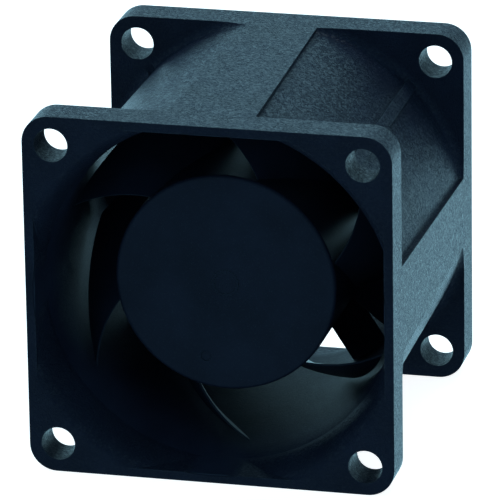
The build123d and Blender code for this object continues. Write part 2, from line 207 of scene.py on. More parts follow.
def new_group(name: str, inputs: Sequence[Tuple[str, float]],
              outputs: Sequence[Tuple[str, str]]) -> GroupParts:
    """An empty shader node group with named number inputs.

    Args:
        name: the group's name.
        inputs: pairs of input name and default number.
        outputs: pairs of output name and socket type.

    Returns:
        The tree, its graph wrapper, the input node and the output node.
    """
    tree = bpy.data.node_groups.new(name, "ShaderNodeTree")
    for label, default in inputs:
        socket = tree.interface.new_socket(label, in_out="INPUT", socket_type="NodeSocketFloat")
        socket.default_value = default
    for label, kind in outputs:
        tree.interface.new_socket(label, in_out="OUTPUT", socket_type=kind)
    graph = Graph(tree)
    return tree, graph, tree.nodes.new("NodeGroupInput"), tree.nodes.new("NodeGroupOutput")


def grain_group() -> bpy.types.NodeTree:
    """Skin of a moulded piece: fine cells, flecks for painted glints and a slow mottle.

    Returns:
        The node group, with outputs Height, Fleck, Sparkle and Mottle. Sparkle is the square of each
        cell's own random number, from 0 to 1.
    """
    outputs = (("Height", "NodeSocketFloat"), ("PaintedGlint", "NodeSocketFloat"), ("Sparkle", "NodeSocketFloat"),
               ("Mottle", "NodeSocketFloat"))
    mix = GRAIN_SHAPE
    tree, graph, source, sink = new_group("skin_grain", (("Cells", Grain.SATIN.value),), outputs)
    coords = graph.add("TexCoord").outputs["Object"]
    cells = source.outputs["Cells"]
    fine = graph.add("TexNoise", {"Vector": coords, "Scale": cells, "Detail": 3.0, "Roughness": 0.62})
    coarse_cells = graph.math("MULTIPLY", cells, mix.coarse_share)
    coarse = graph.add("TexNoise", {"Vector": coords, "Scale": coarse_cells, "Detail": 2.0, "Roughness": 0.5})
    slow = graph.add("TexNoise", {"Vector": coords, "Scale": mix.slow_cells, "Detail": 4.0,
                                  "Roughness": 0.55})
    pits = graph.add("TexVoronoi", {"Vector": coords, "Scale": graph.math("MULTIPLY", cells, mix.pit_share)})
    own = graph.add("SeparateColor", {0: pits.outputs["Color"]}).outputs[0]
    uneven = graph.math("ADD", graph.math("MULTIPLY", coarse.outputs[0], mix.coarse_height),
                        graph.math("MULTIPLY", own, mix.own_height))
    height = graph.math("ADD", graph.math("MULTIPLY", fine.outputs[0], mix.fine_height), uneven)
    # flecks on a few bright cells, painted light as glints
    spot = graph.math("SUBTRACT", mix.fleck_radius, pits.outputs["Distance"])
    fleck = graph.math("MULTIPLY", spot, mix.fleck_sharpness, clamp=True)
    fleck = graph.math("MULTIPLY", fleck, graph.math("POWER", own, mix.fleck_rarity), clamp=True)
    tree.links.new(height, sink.inputs["Height"])
    tree.links.new(fleck, sink.inputs["PaintedGlint"])
    tree.links.new(graph.math("MULTIPLY", own, own), sink.inputs["Sparkle"])
    tree.links.new(slow.outputs[0], sink.inputs["Mottle"])
    return tree


def edge_group() -> bpy.types.NodeTree:
    """Rounded edges, and their mask for a painted highlight and smoother rubbed edges.

    The mask comes from how far the bevelled normal leans from the flat one.

    Returns:
        The node group, with outputs Edge and Normal.
    """
    outputs = (("Edge", "NodeSocketFloat"), ("Normal", "NodeSocketVector"))
    tree, graph, source, sink = new_group("edge_highlight_and_rub", (("Radius", 0.00016),), outputs)
    bevel = graph.add("Bevel", {"Radius": source.outputs["Radius"]}, samples=6)
    flat = graph.add("NewGeometry").outputs["Normal"]
    lean = graph.add("VectorMath", {0: bevel.outputs[0], 1: flat}, operation="DOT_PRODUCT").outputs["Value"]
    open_edge = graph.math("MULTIPLY", graph.math("SUBTRACT", 1.0, lean), EDGE_CONTRAST, clamp=True)
    coords = graph.add("TexCoord").outputs["Object"]
    patch = graph.add("TexNoise", {"Vector": coords, "Scale": HIGHLIGHT_AND_RUB_CELLS, "Detail": 3.0})
    # patchy edge mask: it paints a highlight on the edges and makes them smoother
    painted_light_and_rub = graph.math("MULTIPLY", open_edge, graph.math("MULTIPLY", patch.outputs[0], HIGHLIGHT_AND_RUB_GAIN), clamp=True)
    tree.links.new(painted_light_and_rub, sink.inputs["Edge"])
    tree.links.new(bevel.outputs[0], sink.inputs["Normal"])
    return tree


def axis_place(graph: Graph) -> Tuple[bpy.types.NodeSocket, bpy.types.NodeSocket]:
    """Distance from the fan axis, the root of x squared plus z squared, and depth along it.

    Args:
        graph: the group that asks.

    Returns:
        The sockets of distance and depth, in metres.
    """
    parts = graph.add("SeparateXYZ", {0: graph.add("TexCoord").outputs["Object"]})
    square = graph.math("ADD", graph.math("MULTIPLY", parts.outputs[0], parts.outputs[0]),
                        graph.math("MULTIPLY", parts.outputs[2], parts.outputs[2]))
    return graph.math("SQRT", square), parts.outputs[1]


def streak_group() -> bpy.types.NodeTree:
    """Fine turning or drawing marks that run round the fan axis, as rings in depth and radius.

    Returns:
        The node group, with the output Streak.
    """
    inputs = (("Marks Per Metre", MARKS_PER_METRE),)
    tree, graph, source, sink = new_group("lathe_marks", inputs, (("Streak", "NodeSocketFloat"),))
    radius, depth = axis_place(graph)
    rings = graph.math("ADD", radius, depth)
    point = graph.add("CombineXYZ", {0: graph.math("MULTIPLY", rings, source.outputs["Marks Per Metre"])})
    noise = graph.add("TexNoise", {"Vector": point.outputs[0], "Scale": 1.0, "Detail": 3.0, "Roughness": 0.6})
    tree.links.new(noise.outputs[0], sink.inputs["Streak"])
    return tree


def polish_group() -> bpy.types.NodeTree:
    """Where the mould was polished, inside a cylinder round the fan axis, and where it was ground.

    Returns:
        The node group, with the output Outside, 0 on the polished skin and 1 on the grained skin, and the
        output Side, which is also low on faces square to the axis, where the mould was ground. Side also
        keeps the painted glints of the flecks off those faces.
    """
    outputs = (("Outside", "NodeSocketFloat"), ("Side", "NodeSocketFloat"))
    tree, graph, source, sink = new_group("polished_core", (("Radius", 0.0181),), outputs)
    radius, _ = axis_place(graph)
    past = graph.math("SUBTRACT", radius, source.outputs["Radius"])
    outside = graph.math("MULTIPLY", past, POLISH_BORDER, clamp=True)
    lean = graph.add("SeparateXYZ", {0: graph.add("TexCoord").outputs["Normal"]})
    square_on = graph.math("ABSOLUTE", lean.outputs["Y"])
    grained = graph.math("SUBTRACT", 1.0, graph.math("MULTIPLY", square_on, GROUND_FACE_SHARE))
    side = graph.math("MULTIPLY", outside, grained)
    tree.links.new(outside, sink.inputs["Outside"])
    tree.links.new(side, sink.inputs["Side"])
    return tree


def stack_group() -> bpy.types.NodeTree:
    """Edges of stacked sheets: a dark line between each two sheets along the fan axis.

    Returns:
        The node group, with outputs Line and Sheet.
    """
    outputs = (("Line", "NodeSocketFloat"), ("Sheet", "NodeSocketFloat"))
    tree, graph, source, sink = new_group("sheet_stack", (("Sheets Per Metre", SHEETS_PER_METRE),), outputs)
    _, depth = axis_place(graph)
    count = graph.math("MULTIPLY", depth, source.outputs["Sheets Per Metre"])
    place = graph.math("ABSOLUTE", graph.math("SUBTRACT", graph.math("FRACT", count), 0.5))
    line = graph.math("MULTIPLY", graph.math("SUBTRACT", place, SEAM_FROM), SEAM_SHARPNESS, clamp=True)
    shade = graph.add("TexWhiteNoise", {"W": graph.math("FLOOR", count)}, noise_dimensions="1D")
    tree.links.new(line, sink.inputs["Line"])
    tree.links.new(shade.outputs["Value"], sink.inputs["Sheet"])
    return tree


GROUP_MAKERS: Dict[str, Callable[[], bpy.types.NodeTree]] = {
    "grain": grain_group,
    "edge": edge_group,
    "marks": streak_group,
    "polish": polish_group,
    "stack": stack_group,
}
GROUPS: Dict[str, bpy.types.NodeTree] = {}


def place_group(graph: Graph, name: str, values: Dict[str, object]) -> bpy.types.Node:
    """A group node in a material, with its own values.

    Args:
        graph: the material's graph.
        name: the key in GROUPS.
        values: input name to value.

    Returns:
        The group node.
    """
    node = graph.tree.nodes.new("ShaderNodeGroup")
    node.node_tree = GROUPS[name]
    for label, value in values.items():
        node.inputs[label].default_value = value
    return node


@dataclass(frozen=True)
class Finish:
    """A finish with grain, edges with a painted highlight that are rubbed smoother, and slow colour change.

    Attributes:
        name: material name.
        colour: plain colour of the piece, linear.
        light: colour of the flecks' painted glints and of the edges' painted highlight, linear.
        rough: roughness of the plain skin.
        rough_span: how much the roughness changes over the grain.
        metal: 0 for plastic, 1 for metal.
        grain: how coarse the skin is.
        depth: height of the grain in metres.
        fleck: how strongly the flecks lighten the skin as painted glints.
        dull: share of the plain colour left where the slow mottle is darkest.
        edge: how strongly edges are painted light as a highlight.
        edge_radius: radius of the rounded edge in metres.
        marks: whether turning marks take the place of flecks.
        specular: reflection level on the shader.
        sparkle: weight of the clear glint on the brightest cells of the grain.
        polished_radius: distance from the fan axis, in metres, inside which the skin is polished;
            0 for nowhere.
        polished_rough: roughness of the polished skin.
    """

    name: str
    colour: Colour
    light: Colour
    rough: float = 0.42
    rough_span: float = 0.12
    metal: float = 0.0
    grain: Grain = Grain.SATIN
    depth: float = 0.000006
    fleck: float = 0.3
    dull: float = 0.72
    edge: float = 0.35
    edge_radius: float = 0.00012
    marks: bool = False
    specular: float = 0.5
    sparkle: float = 0.0
    polished_radius: float = 0.0
    polished_rough: float = 0.3

    def build(self) -> bpy.types.Material:
        """The material with its nodes.

        Returns:
            A new material.
        """
        material = bpy.data.materials.new(self.name)
        material.use_nodes = True
        tree = material.node_tree
        shader = tree.nodes["Principled BSDF"]
        graph = Graph(tree)
        skin = place_group(graph, "grain", {"Cells": self.grain.value})
        edge_light_and_rub = place_group(graph, "edge", {"Radius": self.edge_radius})
        open_skin, open_side = 1.0, 1.0
        if self.polished_radius:
            zone = place_group(graph, "polish", {"Radius": self.polished_radius})
            open_skin, open_side = zone.outputs["Outside"], zone.outputs["Side"]
        plain = (*self.colour, 1.0)
        darker = tuple(self.dull * part for part in self.colour) + (1.0,)
        mottle = graph.math("SUBTRACT", skin.outputs["Mottle"], MOTTLE_FROM)
        mottle = graph.math("MULTIPLY", mottle, MOTTLE_GAIN, clamp=True)
        base = graph.blend(mottle, darker, plain)
        fleck = skin.outputs["PaintedGlint"]
        if self.marks:
            fleck = place_group(graph, "marks", {}).outputs["Streak"]
        # painted glints: the flecks are kept off polished faces and faces square to the axis
        fleck = graph.math("MULTIPLY", fleck, open_side)
        # painted glints: the flecks lighten the skin towards the light colour; turning marks take their place
        # where marks is set
        base = graph.blend(graph.math("MULTIPLY", fleck, self.fleck), base, (*self.light, 1.0))
        # painted highlight: the edge mask lightens the skin towards the light colour
        base = graph.blend(graph.math("MULTIPLY", edge_light_and_rub.outputs["Edge"], self.edge), base, (*self.light, 1.0))
        tree.links.new(base, shader.inputs["Base Color"])
        centred = graph.math("SUBTRACT", skin.outputs["Height"], 0.5)
        swing = graph.math("MULTIPLY", centred, self.rough_span * 2.0)
        plain_rough: object = self.rough
        if self.polished_radius:
            lift = graph.math("MULTIPLY", open_skin, self.rough - self.polished_rough)
            plain_rough = graph.math("ADD", lift, self.polished_rough)
        rough = graph.math("ADD", swing, plain_rough)
        smoothed = graph.math("MULTIPLY", edge_light_and_rub.outputs["Edge"], RUB_SMOOTHING)
        rough = graph.math("SUBTRACT", rough, smoothed, clamp=True)
        tree.links.new(rough, shader.inputs["Roughness"])
        relief_share = graph.math("MAXIMUM", open_skin, POLISHED_RELIEF)
        relief = graph.math("MULTIPLY", skin.outputs["Height"], relief_share)
        bump = graph.add("Bump", {"Height": relief, "Normal": edge_light_and_rub.outputs["Normal"],
                                  "Distance": self.depth, "Strength": 1.0})
        tree.links.new(bump.outputs[0], shader.inputs["Normal"])
        shader.inputs["Metallic"].default_value = self.metal
        shader.inputs["Specular IOR Level"].default_value = self.specular
        if self.sparkle:
            most = graph.math("MULTIPLY", open_side, self.sparkle)
            glint = graph.math("MULTIPLY", skin.outputs["Sparkle"], most)
            tree.links.new(glint, shader.inputs["Coat Weight"])
            shader.inputs["Coat Roughness"].default_value = self.rough
        return material


@dataclass(frozen=True)
class StackFinish:
    """Edges of a stack of thin steel sheets.

    Attributes:
        name: material name.
        steel: colour of the brightest sheet, linear.
        seam: colour between two sheets, linear.
        duller: share of the steel colour on the dullest sheet.
        rough: least roughness.
        rough_span: how much the grain adds to the roughness.
        seam_sink: how deep a seam is, in heights of the grain.
        depth: height of the grain in metres.
        metal: how metallic the stack is.
    """

    name: str = "electrical_steel_stack"
    steel: Colour = (0.30, 0.31, 0.33)
    seam: Colour = (0.05, 0.045, 0.05)
    duller: float = 0.7
    rough: float = 0.25
    rough_span: float = 0.3
    seam_sink: float = 3.0
    depth: float = 0.00001
    metal: float = 0.9

    def build(self) -> bpy.types.Material:
        """The material, with one line for each sheet and its own shade.

        Returns:
            A new material.
        """
        material = bpy.data.materials.new(self.name)
        material.use_nodes = True
        tree = material.node_tree
        shader = tree.nodes["Principled BSDF"]
        graph = Graph(tree)
        stack = place_group(graph, "stack", {})
        skin = place_group(graph, "grain", {"Cells": Grain.GROUND.value})
        duller = tuple(self.duller * part for part in self.steel) + (1.0,)
        base = graph.blend(stack.outputs["Sheet"], duller, (*self.steel, 1.0))
        base = graph.blend(stack.outputs["Line"], base, (*self.seam, 1.0))
        tree.links.new(base, shader.inputs["Base Color"])
        grainy = graph.math("MULTIPLY", skin.outputs["Height"], self.rough_span)
        tree.links.new(graph.math("ADD", grainy, self.rough), shader.inputs["Roughness"])
        groove = graph.math("MULTIPLY", stack.outputs["Line"], self.seam_sink)
        sunk = graph.math("SUBTRACT", skin.outputs["Height"], groove)
        bump = graph.add("Bump", {"Height": sunk, "Distance": self.depth, "Strength": 1.0})
        tree.links.new(bump.outputs[0], shader.inputs["Normal"])
        shader.inputs["Metallic"].default_value = self.metal
        return material


@dataclass(frozen=True)
class BoardFinish:
    """Green solder mask over copper tracks.

    Attributes:
        name: material name.
        mask: colour of the mask on bare board, linear.
        track: colour of the mask over copper, linear.
        islands: islands of board per metre, with tracks between them.
        track_share: half a track's width, as a share of an island.
        rough: least roughness.
        rough_span: how much the mottle adds to the roughness.
        grain_share: height of the grain, as a share of a track's.
        depth: height of a track in metres.
    """

    name: str = "solder_mask"
    mask: Colour = (0.012, 0.10, 0.04)
    track: Colour = (0.03, 0.20, 0.07)
    islands: float = 420.0
    track_share: float = 0.16
    rough: float = 0.15
    rough_span: float = 0.2
    grain_share: float = 0.1
    depth: float = 0.00002

    def build(self) -> bpy.types.Material:
        """The material, with tracks as the edges of large cells.

        Returns:
            A new material.
        """
        material = bpy.data.materials.new(self.name)
        material.use_nodes = True
        tree = material.node_tree
        shader = tree.nodes["Principled BSDF"]
        graph = Graph(tree)
        coords = graph.add("TexCoord").outputs["Object"]
        cells = graph.add("TexVoronoi", {"Vector": coords, "Scale": self.islands}, feature="DISTANCE_TO_EDGE")
        copper = graph.math("LESS_THAN", cells.outputs["Distance"], self.track_share)
        skin = place_group(graph, "grain", {"Cells": Grain.SATIN.value})
        base = graph.blend(copper, (*self.mask, 1.0), (*self.track, 1.0))
        tree.links.new(base, shader.inputs["Base Color"])
        cloudy = graph.math("MULTIPLY", skin.outputs["Mottle"], self.rough_span)
        tree.links.new(graph.math("ADD", cloudy, self.rough), shader.inputs["Roughness"])
        height = graph.math("ADD", copper, graph.math("MULTIPLY", skin.outputs["Height"], self.grain_share))
        bump = graph.add("Bump", {"Height": height, "Distance": self.depth, "Strength": 1.0})
        tree.links.new(bump.outputs[0], shader.inputs["Normal"])
        return material


# The second colour of each finish is its painted highlight on flecks and edges, and the colour of its turning
# marks.
FRAME_PLASTIC = Finish("frame_plastic", (0.016, 0.020, 0.040), (0.14, 0.20, 0.25), rough=0.40,
                       grain=Grain.SPARK_ERODED, depth=0.00045, fleck=0.08, edge=0.16, edge_radius=0.00022,
                       specular=0.04, sparkle=0.62, polished_radius=0.01815, polished_rough=0.50)
IMPELLER_PLASTIC = Finish("impeller_plastic", (0.014, 0.018, 0.035), (0.06, 0.09, 0.12), rough=0.36,
                          depth=0.000008, fleck=0.10, edge=0.25, edge_radius=0.00015, specular=0.08)
LABEL_FILM = Finish("label_film", (0.50, 0.51, 0.53), (0.62, 0.63, 0.65), rough=0.30, rough_span=0.06,
                    grain=Grain.GROUND, depth=0.000002, fleck=0.10, dull=0.96, edge=0.15, edge_radius=0.00005)
PLATED_STEEL = Finish("plated_steel", (0.52, 0.53, 0.55), (0.75, 0.76, 0.78), rough=0.32, metal=1.0,
                      depth=0.000003, fleck=0.35, marks=True)
FERRITE = Finish("ferrite", (0.045, 0.045, 0.05), (0.12, 0.12, 0.13), rough=0.55, depth=0.00001)
BRASS = Finish("brass", (0.60, 0.43, 0.17), (0.80, 0.63, 0.33), rough=0.25, metal=1.0, depth=0.000003,
               marks=True)
BEARING_STEEL = Finish("bearing_steel", (0.62, 0.63, 0.65), (0.82, 0.83, 0.85), rough=0.14, rough_span=0.05,
                       metal=1.0, grain=Grain.GROUND, depth=0.000001, marks=True)
SPRING_STEEL = Finish("spring_steel", (0.28, 0.29, 0.31), (0.5, 0.51, 0.53), rough=0.3, metal=1.0,
                      depth=0.000003)
WASHER_NYLON = Finish("washer_nylon", (0.66, 0.63, 0.55), (0.8, 0.78, 0.7), rough=0.45)
CAGE_NYLON = Finish("cage_nylon", (0.52, 0.45, 0.30), (0.68, 0.62, 0.47), rough=0.45)
INSULATOR_NYLON = Finish("insulator_nylon", (0.62, 0.60, 0.54), (0.75, 0.74, 0.69), rough=0.45)
ENAMELLED_WIRE = Finish("enamelled_wire", (0.36, 0.10, 0.025), (0.62, 0.26, 0.09), rough=0.22,
                        rough_span=0.05, metal=0.6, grain=Grain.GROUND, depth=0.000002, fleck=0.2)
TINNED = Finish("tinned_pins", (0.62, 0.62, 0.63), (0.8, 0.8, 0.81), rough=0.3, metal=1.0, depth=0.000003)
CHIP_EPOXY = Finish("chip_epoxy", (0.018, 0.018, 0.020), (0.07, 0.07, 0.075), rough=0.55,
                    grain=Grain.SPARK_ERODED, depth=0.00001)
CAPACITOR_CAN = Finish("capacitor_can", (0.60, 0.61, 0.63), (0.8, 0.8, 0.82), rough=0.25, metal=1.0,
                       depth=0.000002, marks=True)
CHIP_RESISTOR = Finish("chip_resistor", (0.03, 0.03, 0.035), (0.5, 0.5, 0.5), rough=0.25, depth=0.000002)


def sheet_faces(rows: int, columns: int, close_rows: bool = False, close_columns: bool = False) -> np.ndarray:
    """Quads of a grid of vertices that are numbered row by row.

    Args:
        rows: vertices in the first direction.
        columns: vertices in the second direction.
        close_rows: whether the last row joins the first.
        close_columns: whether the last column joins the first.

    Returns:
        An array of four vertex numbers for each quad.
    """
    i = np.arange(rows if close_rows else rows - 1)
    j = np.arange(columns if close_columns else columns - 1)
    i, j = (grid.ravel() for grid in np.meshgrid(i, j, indexing="ij"))
    k, m = (i + 1) % rows, (j + 1) % columns
    return np.stack([i * columns + j, i * columns + m, k * columns + m, k * columns + j], axis=1)


def make_piece(name: str, vertices: np.ndarray, faces: Sequence[Sequence[int]], material: bpy.types.Material,
               body: Body) -> bpy.types.Object:
    """A smooth mesh object at the origin that rides on a body.

    Args:
        name: the object's name.
        vertices: points in millimetres, in the row frame.
        faces: vertex numbers of each face.
        material: its finish.
        body: the body it moves with.

    Returns:
        The new object.
    """
    mesh = bpy.data.meshes.new(name)
    mesh.from_pydata((vertices * MM).tolist(), [], [tuple(int(v) for v in face) for face in faces])
    mesh.validate()
    mesh.update()
    mesh.polygons.foreach_set("use_smooth", np.full(len(mesh.polygons), True))
    piece = bpy.data.objects.new(name, mesh)
    bpy.context.scene.collection.objects.link(piece)
    mesh.materials.append(material)
    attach(piece, body.value)
    return piece


def turned(points: np.ndarray, degrees: float) -> np.ndarray:
    """Points turned about the fan axis, counter-clockwise as seen from the front.

    Args:
        points: points in millimetres.
        degrees: the angle.

    Returns:
        The turned points.
    """
    angle = math.radians(degrees)
    out = points.copy()
    out[..., 0] = points[..., 0] * math.cos(angle) - points[..., 2] * math.sin(angle)
    out[..., 2] = points[..., 0] * math.sin(angle) + points[..., 2] * math.cos(angle)
    return out


def dress(node: str, material: bpy.types.Material) -> None:
    """Gives a carried-over CAD node its finish.

    Args:
        node: the node's name.
        material: its finish.
    """
    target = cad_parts[node]
    slots = target.material_slots
    if not slots:
        target.data.materials.append(material)
    for slot in slots:
        slot.material = material
    LOG.info("dressed %s with %s", node, material.name)


@dataclass
class FanFrame:
    """The square housing with its duct, flanges, guide vanes and rear label."""

    plastic: bpy.types.Material
    film: bpy.types.Material

    def build(self) -> None:
        """Dresses the housing and its label."""
        dress("housing", self.plastic)
        dress("rear_label", self.film)


@dataclass
class BladedRotor:
    """The impeller with its steel cup, magnet, insert and shaft."""

    plastic: bpy.types.Material
    steel: bpy.types.Material
    ferrite: bpy.types.Material
    brass: bpy.types.Material
    ground: bpy.types.Material
    spring: bpy.types.Material
    nylon: bpy.types.Material

    def build(self) -> None:
        """Dresses the turning parts."""
        dress("impeller", self.plastic)
        dress("rotor_yoke", self.steel)
        dress("magnet_ring", self.ferrite)
        dress("shaft_insert", self.brass)
        dress("shaft", self.ground)
        dress("thrust_washer", self.nylon)
        dress("retaining_clip", self.spring)
        dress("preload_spring", self.spring)


@dataclass
class BallBearings:
    """The two shielded bearings."""

    ground: bpy.types.Material
    steel: bpy.types.Material
    cage: bpy.types.Material

    def build(self) -> None:
        """Dresses the rings, balls, cages and shields."""
        for end in ("front", "rear"):
            for part in ("outer_ring", "inner_ring", "balls"):
                dress(end + "_bearing_" + part, self.ground)
            dress(end + "_bearing_cage", self.cage)
            for side in ("front", "rear"):
                dress(end + "_bearing_" + side + "_shield", self.steel)


@dataclass
class WoundStator:
    """The laminated core, its insulators and four coils wound with real turns.

    A coil lies round a pole that points along the radius, and its window is taken from the CAD coil's own
    box. Sizes are in millimetres.

    Attributes:
        stack: finish of the core.
        nylon: finish of the insulators.
        wire: finish of the coils.
        brass: finish of the bearing tube.
        wire_r: radius of the wire.
        layers: layers of turns.
        sides: corners of the wire's round section.
        turn_points: points of one turn.
        corner: least corner radius of a turn.
        slack: room for each wire, as a share of its width.
        insulator: thickness of both insulators together, at one end of the pole.
        poles: poles of the core.
    """

    stack: bpy.types.Material
    nylon: bpy.types.Material
    wire: bpy.types.Material
    brass: bpy.types.Material
    wire_r: float = 0.11
    layers: int = 3
    sides: int = 6
    turn_points: int = 40
    corner: float = 0.45
    slack: float = 1.04
    insulator: float = 0.6
    poles: int = 4

    def winding(self, inner_x: float, outer_x: float, half_y: float, half_z: float,
                thick: float) -> Tuple[np.ndarray, np.ndarray]:
        """One coil as closed turns that lie side by side in layers.

        A turn is a rounded rectangle in depth and width. Its point at angle a is
        sign(cos a) flat + corner cos a, and the same with sines for the width.

        Args:
            inner_x: start of the coil along the pole.
            outer_x: end of the coil along the pole.
            half_y: half the outer length in depth.
            half_z: half the outer width.
            thick: how thick the coil is built up.

        Returns:
            Vertices and quads of all the turns, for the pole that points along +X.
        """
        pitch = 2.0 * self.wire_r * self.slack
        across = int((outer_x - inner_x) / pitch)
        layer_step = (thick - 2.0 * self.wire_r) / (self.layers - 1)
        angle = np.linspace(0.0, 2.0 * math.pi, self.turn_points, endpoint=False)
        vertices: List[np.ndarray] = []
        faces: List[np.ndarray] = []
        start = 0
        for layer in range(self.layers):
            inset = self.wire_r + layer * layer_step
            shift = 0.5 * pitch * (layer % 2)
            for turn in range(across - layer % 2):
                x = inner_x + self.wire_r + shift + turn * pitch
                corner = max(self.corner, thick - inset)
                flat_y = half_y - inset - corner
                flat_z = half_z - inset - corner
                y = np.sign(np.cos(angle)) * flat_y + corner * np.cos(angle)
                z = np.sign(np.sin(angle)) * flat_z + corner * np.sin(angle)
                path = np.stack([np.full_like(y, x), y, z], axis=1)
                ring, quads = self.closed_tube(path)
                vertices.append(ring)
                faces.append(quads + start)
                start += len(ring)
        return np.concatenate(vertices), np.concatenate(faces)

    def closed_tube(self, path: np.ndarray) -> Tuple[np.ndarray, np.ndarray]:
        """A wire round a closed flat path.

        The ring at each point lies in the plane of X and the outward normal:
        point + wire_r (cos t normal + sin t X).

        Args:
            path: points of the closed turn.

        Returns:
            Vertices and quads.
        """
        along = np.roll(path, -1, axis=0) - np.roll(path, 1, axis=0)
        along /= np.linalg.norm(along, axis=1)[:, None]
        axis = np.array([1.0, 0.0, 0.0])
        side = np.cross(along, axis)
        turn = np.linspace(0.0, 2.0 * math.pi, self.sides, endpoint=False)
        rings = path[:, None, :] + self.wire_r * (np.cos(turn)[None, :, None] * side[:, None, :]
                                                  + np.sin(turn)[None, :, None] * axis)
        return rings.reshape(-1, 3), sheet_faces(len(path), self.sides, close_rows=True, close_columns=True)

    def build(self) -> None:
        """Dresses core, insulators and tube, and winds the coils."""
        dress("stator_core", self.stack)
        dress("front_insulator", self.nylon)
        dress("rear_insulator", self.nylon)
        dress("bearing_tube", self.brass)
        low, high = (np.array(corner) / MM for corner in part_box("coil_1"))
        core_low, core_high = (np.array(corner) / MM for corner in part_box("stator_core"))
        middle = (low[1] + high[1]) / 2.0
        thick = (high[1] - low[1] - (core_high[1] - core_low[1])) / 2.0 - self.insulator
        half = (high - low) / 2.0
        vertices, faces = self.winding(low[0], high[0], half[1], half[2], thick)
        vertices[:, 1] += middle
        for count in range(self.poles):
            name = "coil_%d" % (count + 1)
            placed = turned(vertices, 360.0 / self.poles * count)
            piece = make_piece("wound_" + name, placed, faces, self.wire, Body.STATOR)
            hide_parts(name)
            LOG.info("wound %s: %d quads", name, len(faces))


@dataclass
class DriveBoard:
    """The ring-shaped circuit board and its parts, with sizes in millimetres.

    Attributes:
        board: finish of the board.
        tinned: finish of pins and solder.
        epoxy: finish of the chips.
        can: finish of the capacitors.
        resistor: finish of the resistors.
        joint_r: radius of a solder joint on the board.
        joint_h: height of a solder joint.
        pin_r: radius of a terminal pin.
        skin: thickness of the solder at the top of a joint.
        joint_rows: rings of points up a joint.
        joint_sides: points round a joint.
        pins: terminal pins.
        first_pin: angle of the first pin, in degrees.
    """

    board: bpy.types.Material
    tinned: bpy.types.Material
    epoxy: bpy.types.Material
    can: bpy.types.Material
    resistor: bpy.types.Material
    joint_r: float = 0.62
    joint_h: float = 0.42
    pin_r: float = 0.25
    skin: float = 0.01
    joint_rows: int = 9
    joint_sides: int = 24
    pins: int = 4
    first_pin: float = 45.0

    def solder_joints(self) -> None:
        """Cones of solder round the terminal pins.

        A joint's radius falls from joint_r at the board to the pin's own radius along a hollow curve:
        radius(t) = pin_r + skin + (joint_r - pin_r)(1 - t) squared, at height joint_h t.
        """
        board_high = np.array(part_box("circuit_board")[1]) / MM
        pin_high = np.array(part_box("terminal_pins")[1]) / MM
        reach = (pin_high[0] - self.pin_r) * math.sqrt(2.0)
        share = np.linspace(0.0, 1.0, self.joint_rows)
        radius = self.pin_r + self.skin + (self.joint_r - self.pin_r) * (1.0 - share) ** 2
        height = board_high[1] + self.joint_h * share
        angle = np.linspace(0.0, 2.0 * math.pi, self.joint_sides, endpoint=False)
        x = reach + radius[:, None] * np.cos(angle)[None, :]
        z = radius[:, None] * np.sin(angle)[None, :]
        y = np.broadcast_to(height[:, None], x.shape)
        one = np.stack([x, y, z], axis=2).reshape(-1, 3)
        quads = sheet_faces(self.joint_rows, self.joint_sides, close_columns=True)
        step = 360.0 / self.pins
        vertices = np.concatenate([turned(one, self.first_pin + step * count) for count in range(self.pins)])
        faces = np.concatenate([quads + count * len(one) for count in range(self.pins)])
        make_piece("solder_joints", vertices, faces, self.tinned, Body.STATOR)

    def build(self) -> None:
        """Dresses the board and its parts and adds the solder."""
        dress("circuit_board", self.board)
        dress("terminal_pins", self.tinned)
        dress("driver_chip", self.epoxy)
        dress("hall_sensor", self.epoxy)
        for count in (1, 2):
            dress("capacitor_%d" % count, self.can)
        for count in (1, 2, 3, 4):
            dress("resistor_%d" % count, self.resistor)
        self.solder_joints()


def seen_straight(graph: Graph) -> bpy.types.NodeSocket:
    """1 for rays from the camera or through a clear piece, and 0 for light that falls on the fan.

    Args:
        graph: the material or world that asks.

    Returns:
        The value socket.
    """
    path = graph.add("LightPath")
    return graph.math("MAXIMUM", path.outputs["Is Camera Ray"], path.outputs["Is Transmission Ray"])


